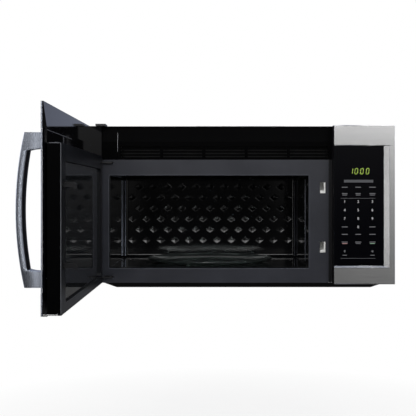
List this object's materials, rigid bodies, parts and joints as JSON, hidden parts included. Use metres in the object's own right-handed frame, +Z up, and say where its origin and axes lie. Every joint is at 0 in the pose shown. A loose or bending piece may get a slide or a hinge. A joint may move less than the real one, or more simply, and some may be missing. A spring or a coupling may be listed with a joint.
{
  "type": "over the range microwave",
  "caption": "Wall-hung microwave oven with a side-hinged glass door and bow handle, touch control panel, glass turntable, vent grille, exhaust collar and underside grease filters.",
  "frame": {"origin": "middle of the flat back face, where the oven meets the wall, midway between the case top and the pan's underside", "axes": "+X to the right as seen from the front, +Y into the wall, +Z up; the door stands open at 90 degrees"},
  "size_m": [0.8305, 0.9855, 0.439],
  "materials": {
    "case_paint": "black baked enamel on sheet steel",
    "galvanised": "plain zinc-coated sheet",
    "grey_paint": "dark blue-grey semi-gloss enamel",
    "cavity_enamel": "charcoal glossy enamel",
    "black_plastic": "glossy black plastic",
    "matte_black": "matte black plastic",
    "stainless": "stainless steel brushed lengthways",
    "black_glass": "glossy black glass, printed on the back",
    "dark_glass": "dark clear glass",
    "tray_glass": "clear glass with a green edge",
    "lens_glass": "clear pressed glass",
    "white_plastic": "white moulded plastic",
    "switch_plastic": "black moulded plastic",
    "zinc_steel": "bright zinc-plated steel",
    "film": "black printed film",
    "circuit_board": "green lacquered board",
    "carbon": "charcoal mesh in a card frame",
    "bulb": "lamp glass and white ceramic holders",
    "motor_steel": "varnished steel",
    "tube_metal": "aluminium fins in a steel yoke",
    "filter_mesh": "aluminium mesh",
    "bushing_rubber": "black rubber"
  },
  "bodies": {
    "cabinet": {"outer_cabinet": "case_paint", "back_panel": "galvanised", "chassis_floor": "galvanised", "base_pan": "case_paint", "face_frame": "grey_paint", "cavity_liner": "cavity_enamel", "cavity_floor": "cavity_enamel", "cavity_rear_wall": "cavity_enamel", "vent_grille": "black_plastic", "grille_end_block": "black_plastic", "charcoal_filter": "carbon", "top_hinge_tab": "case_paint", "control_panel_frame": "stainless", "control_panel_housing": "matte_black", "control_glass": "black_glass", "keypad_membrane": "film", "control_board": "circuit_board", "latch_board": "white_plastic", "interlock_switches": "switch_plastic", "hinge_brackets": "zinc_steel", "cooktop_lenses": "lens_glass", "cooktop_lamps": "bulb", "cavity_lamp": "bulb", "turntable_motor": "motor_steel", "waveguide": "galvanised", "waveguide_cover": "cavity_enamel", "magnetron": "tube_metal", "high_voltage_transformer": "motor_steel", "high_voltage_capacitor": "switch_plastic", "cooling_fan_frame": "motor_steel", "cooling_fan_motor": "motor_steel", "thermal_cutouts": "switch_plastic", "blower_housing": "galvanised", "blower_motor": "motor_steel", "exhaust_adapter": "galvanised", "cord_bushing": "bushing_rubber"},
    "door": {"door_outer_frame": "stainless", "door_glass": "black_glass", "door_top_cover": "black_plastic", "door_inner_frame": "grey_paint", "door_choke": "galvanised", "door_screen": "galvanised", "door_window": "dark_glass", "handle_bar": "stainless", "handle_liner": "matte_black", "handle_feet": "stainless", "handle_screws": "zinc_steel"},
    "latch": {"latch_slider": "switch_plastic", "latch_spring": "zinc_steel"},
    "coupler": {"turntable_coupler": "white_plastic"},
    "tray": {"glass_turntable": "tray_glass"},
    "roller_ring": {"roller_ring": "white_plastic"},
    "roller_1": {"roller_1": "white_plastic"},
    "roller_2": {"roller_2": "white_plastic"},
    "roller_3": {"roller_3": "white_plastic"},
    "cooling_fan": {"cooling_fan_blade": "matte_black"},
    "blower": {"blower_wheels": "matte_black"},
    "damper": {"damper_flap": "galvanised"},
    "grease_left": {"grease_filter_left": "filter_mesh"},
    "grease_right": {"grease_filter_right": "filter_mesh"}
  },
  "joints": [
    {"name": "door_hinge", "type": "hinge", "parent": "cabinet", "child": "door", "pos_m": [-0.3725, -0.389, 0], "axis": [0, 0, 1], "range_deg": [-20, 90]},
    {"name": "latch_slide", "type": "slide", "parent": "door", "child": "latch", "axis": [0, 0, 1], "range_m": [0, 0.005], "stiffness_N_per_m": 200, "springref_m": -0.002, "deforming": ["latch_spring"]},
    {"name": "turntable_spin", "type": "hinge", "parent": "cabinet", "child": "coupler", "pos_m": [-0.0888, -0.1955, -0.166], "axis": [0, 0, 1], "continuous": true},
    {"name": "tray_lift", "type": "slide", "parent": "coupler", "child": "tray", "axis": [0, 0, 1], "range_m": [0, 0.04]},
    {"name": "roller_ring_spin", "type": "hinge", "parent": "cabinet", "child": "roller_ring", "pos_m": [-0.0888, -0.1955, -0.166], "axis": [0, 0, 1], "continuous": true},
    {"name": "roller_1_spin", "type": "hinge", "parent": "roller_ring", "child": "roller_1", "pos_m": [-0.0888, -0.1955, -0.16], "axis": [1, 0, 0], "continuous": true},
    {"name": "roller_2_spin", "type": "hinge", "parent": "roller_ring", "child": "roller_2", "pos_m": [-0.0888, -0.1955, -0.16], "axis": [-0.5, 0.866, 0], "continuous": true},
    {"name": "roller_3_spin", "type": "hinge", "parent": "roller_ring", "child": "roller_3", "pos_m": [-0.0888, -0.1955, -0.16], "axis": [-0.5, -0.866, 0], "continuous": true},
    {"name": "cooling_fan_spin", "type": "hinge", "parent": "cabinet", "child": "cooling_fan", "pos_m": [0.3102, -0.08, 0.0145], "axis": [0, 1, 0], "continuous": true},
    {"name": "blower_spin", "type": "hinge", "parent": "cabinet", "child": "blower", "pos_m": [0, -0.07415, 0.14535], "axis": [1, 0, 0], "continuous": true},
    {"name": "damper_swing", "type": "hinge", "parent": "cabinet", "child": "damper", "pos_m": [0, -0.0247, 0.2145], "axis": [-1, 0, 0], "range_deg": [0, 75]},
    {"name": "grease_filter_left_drop", "type": "slide", "parent": "cabinet", "child": "grease_left", "axis": [0, 0, -1], "range_m": [0, 0.06]},
    {"name": "grease_filter_right_drop", "type": "slide", "parent": "cabinet", "child": "grease_right", "axis": [0, 0, -1], "range_m": [0, 0.06]}
  ],
  "couplings": [
    {"joint": "roller_ring_spin", "follows": "turntable_spin", "ratio": 0.5},
    {"joint": "roller_1_spin", "follows": "turntable_spin", "ratio": -10.175},
    {"joint": "roller_2_spin", "follows": "turntable_spin", "ratio": -10.175},
    {"joint": "roller_3_spin", "follows": "turntable_spin", "ratio": -10.175}
  ]
}
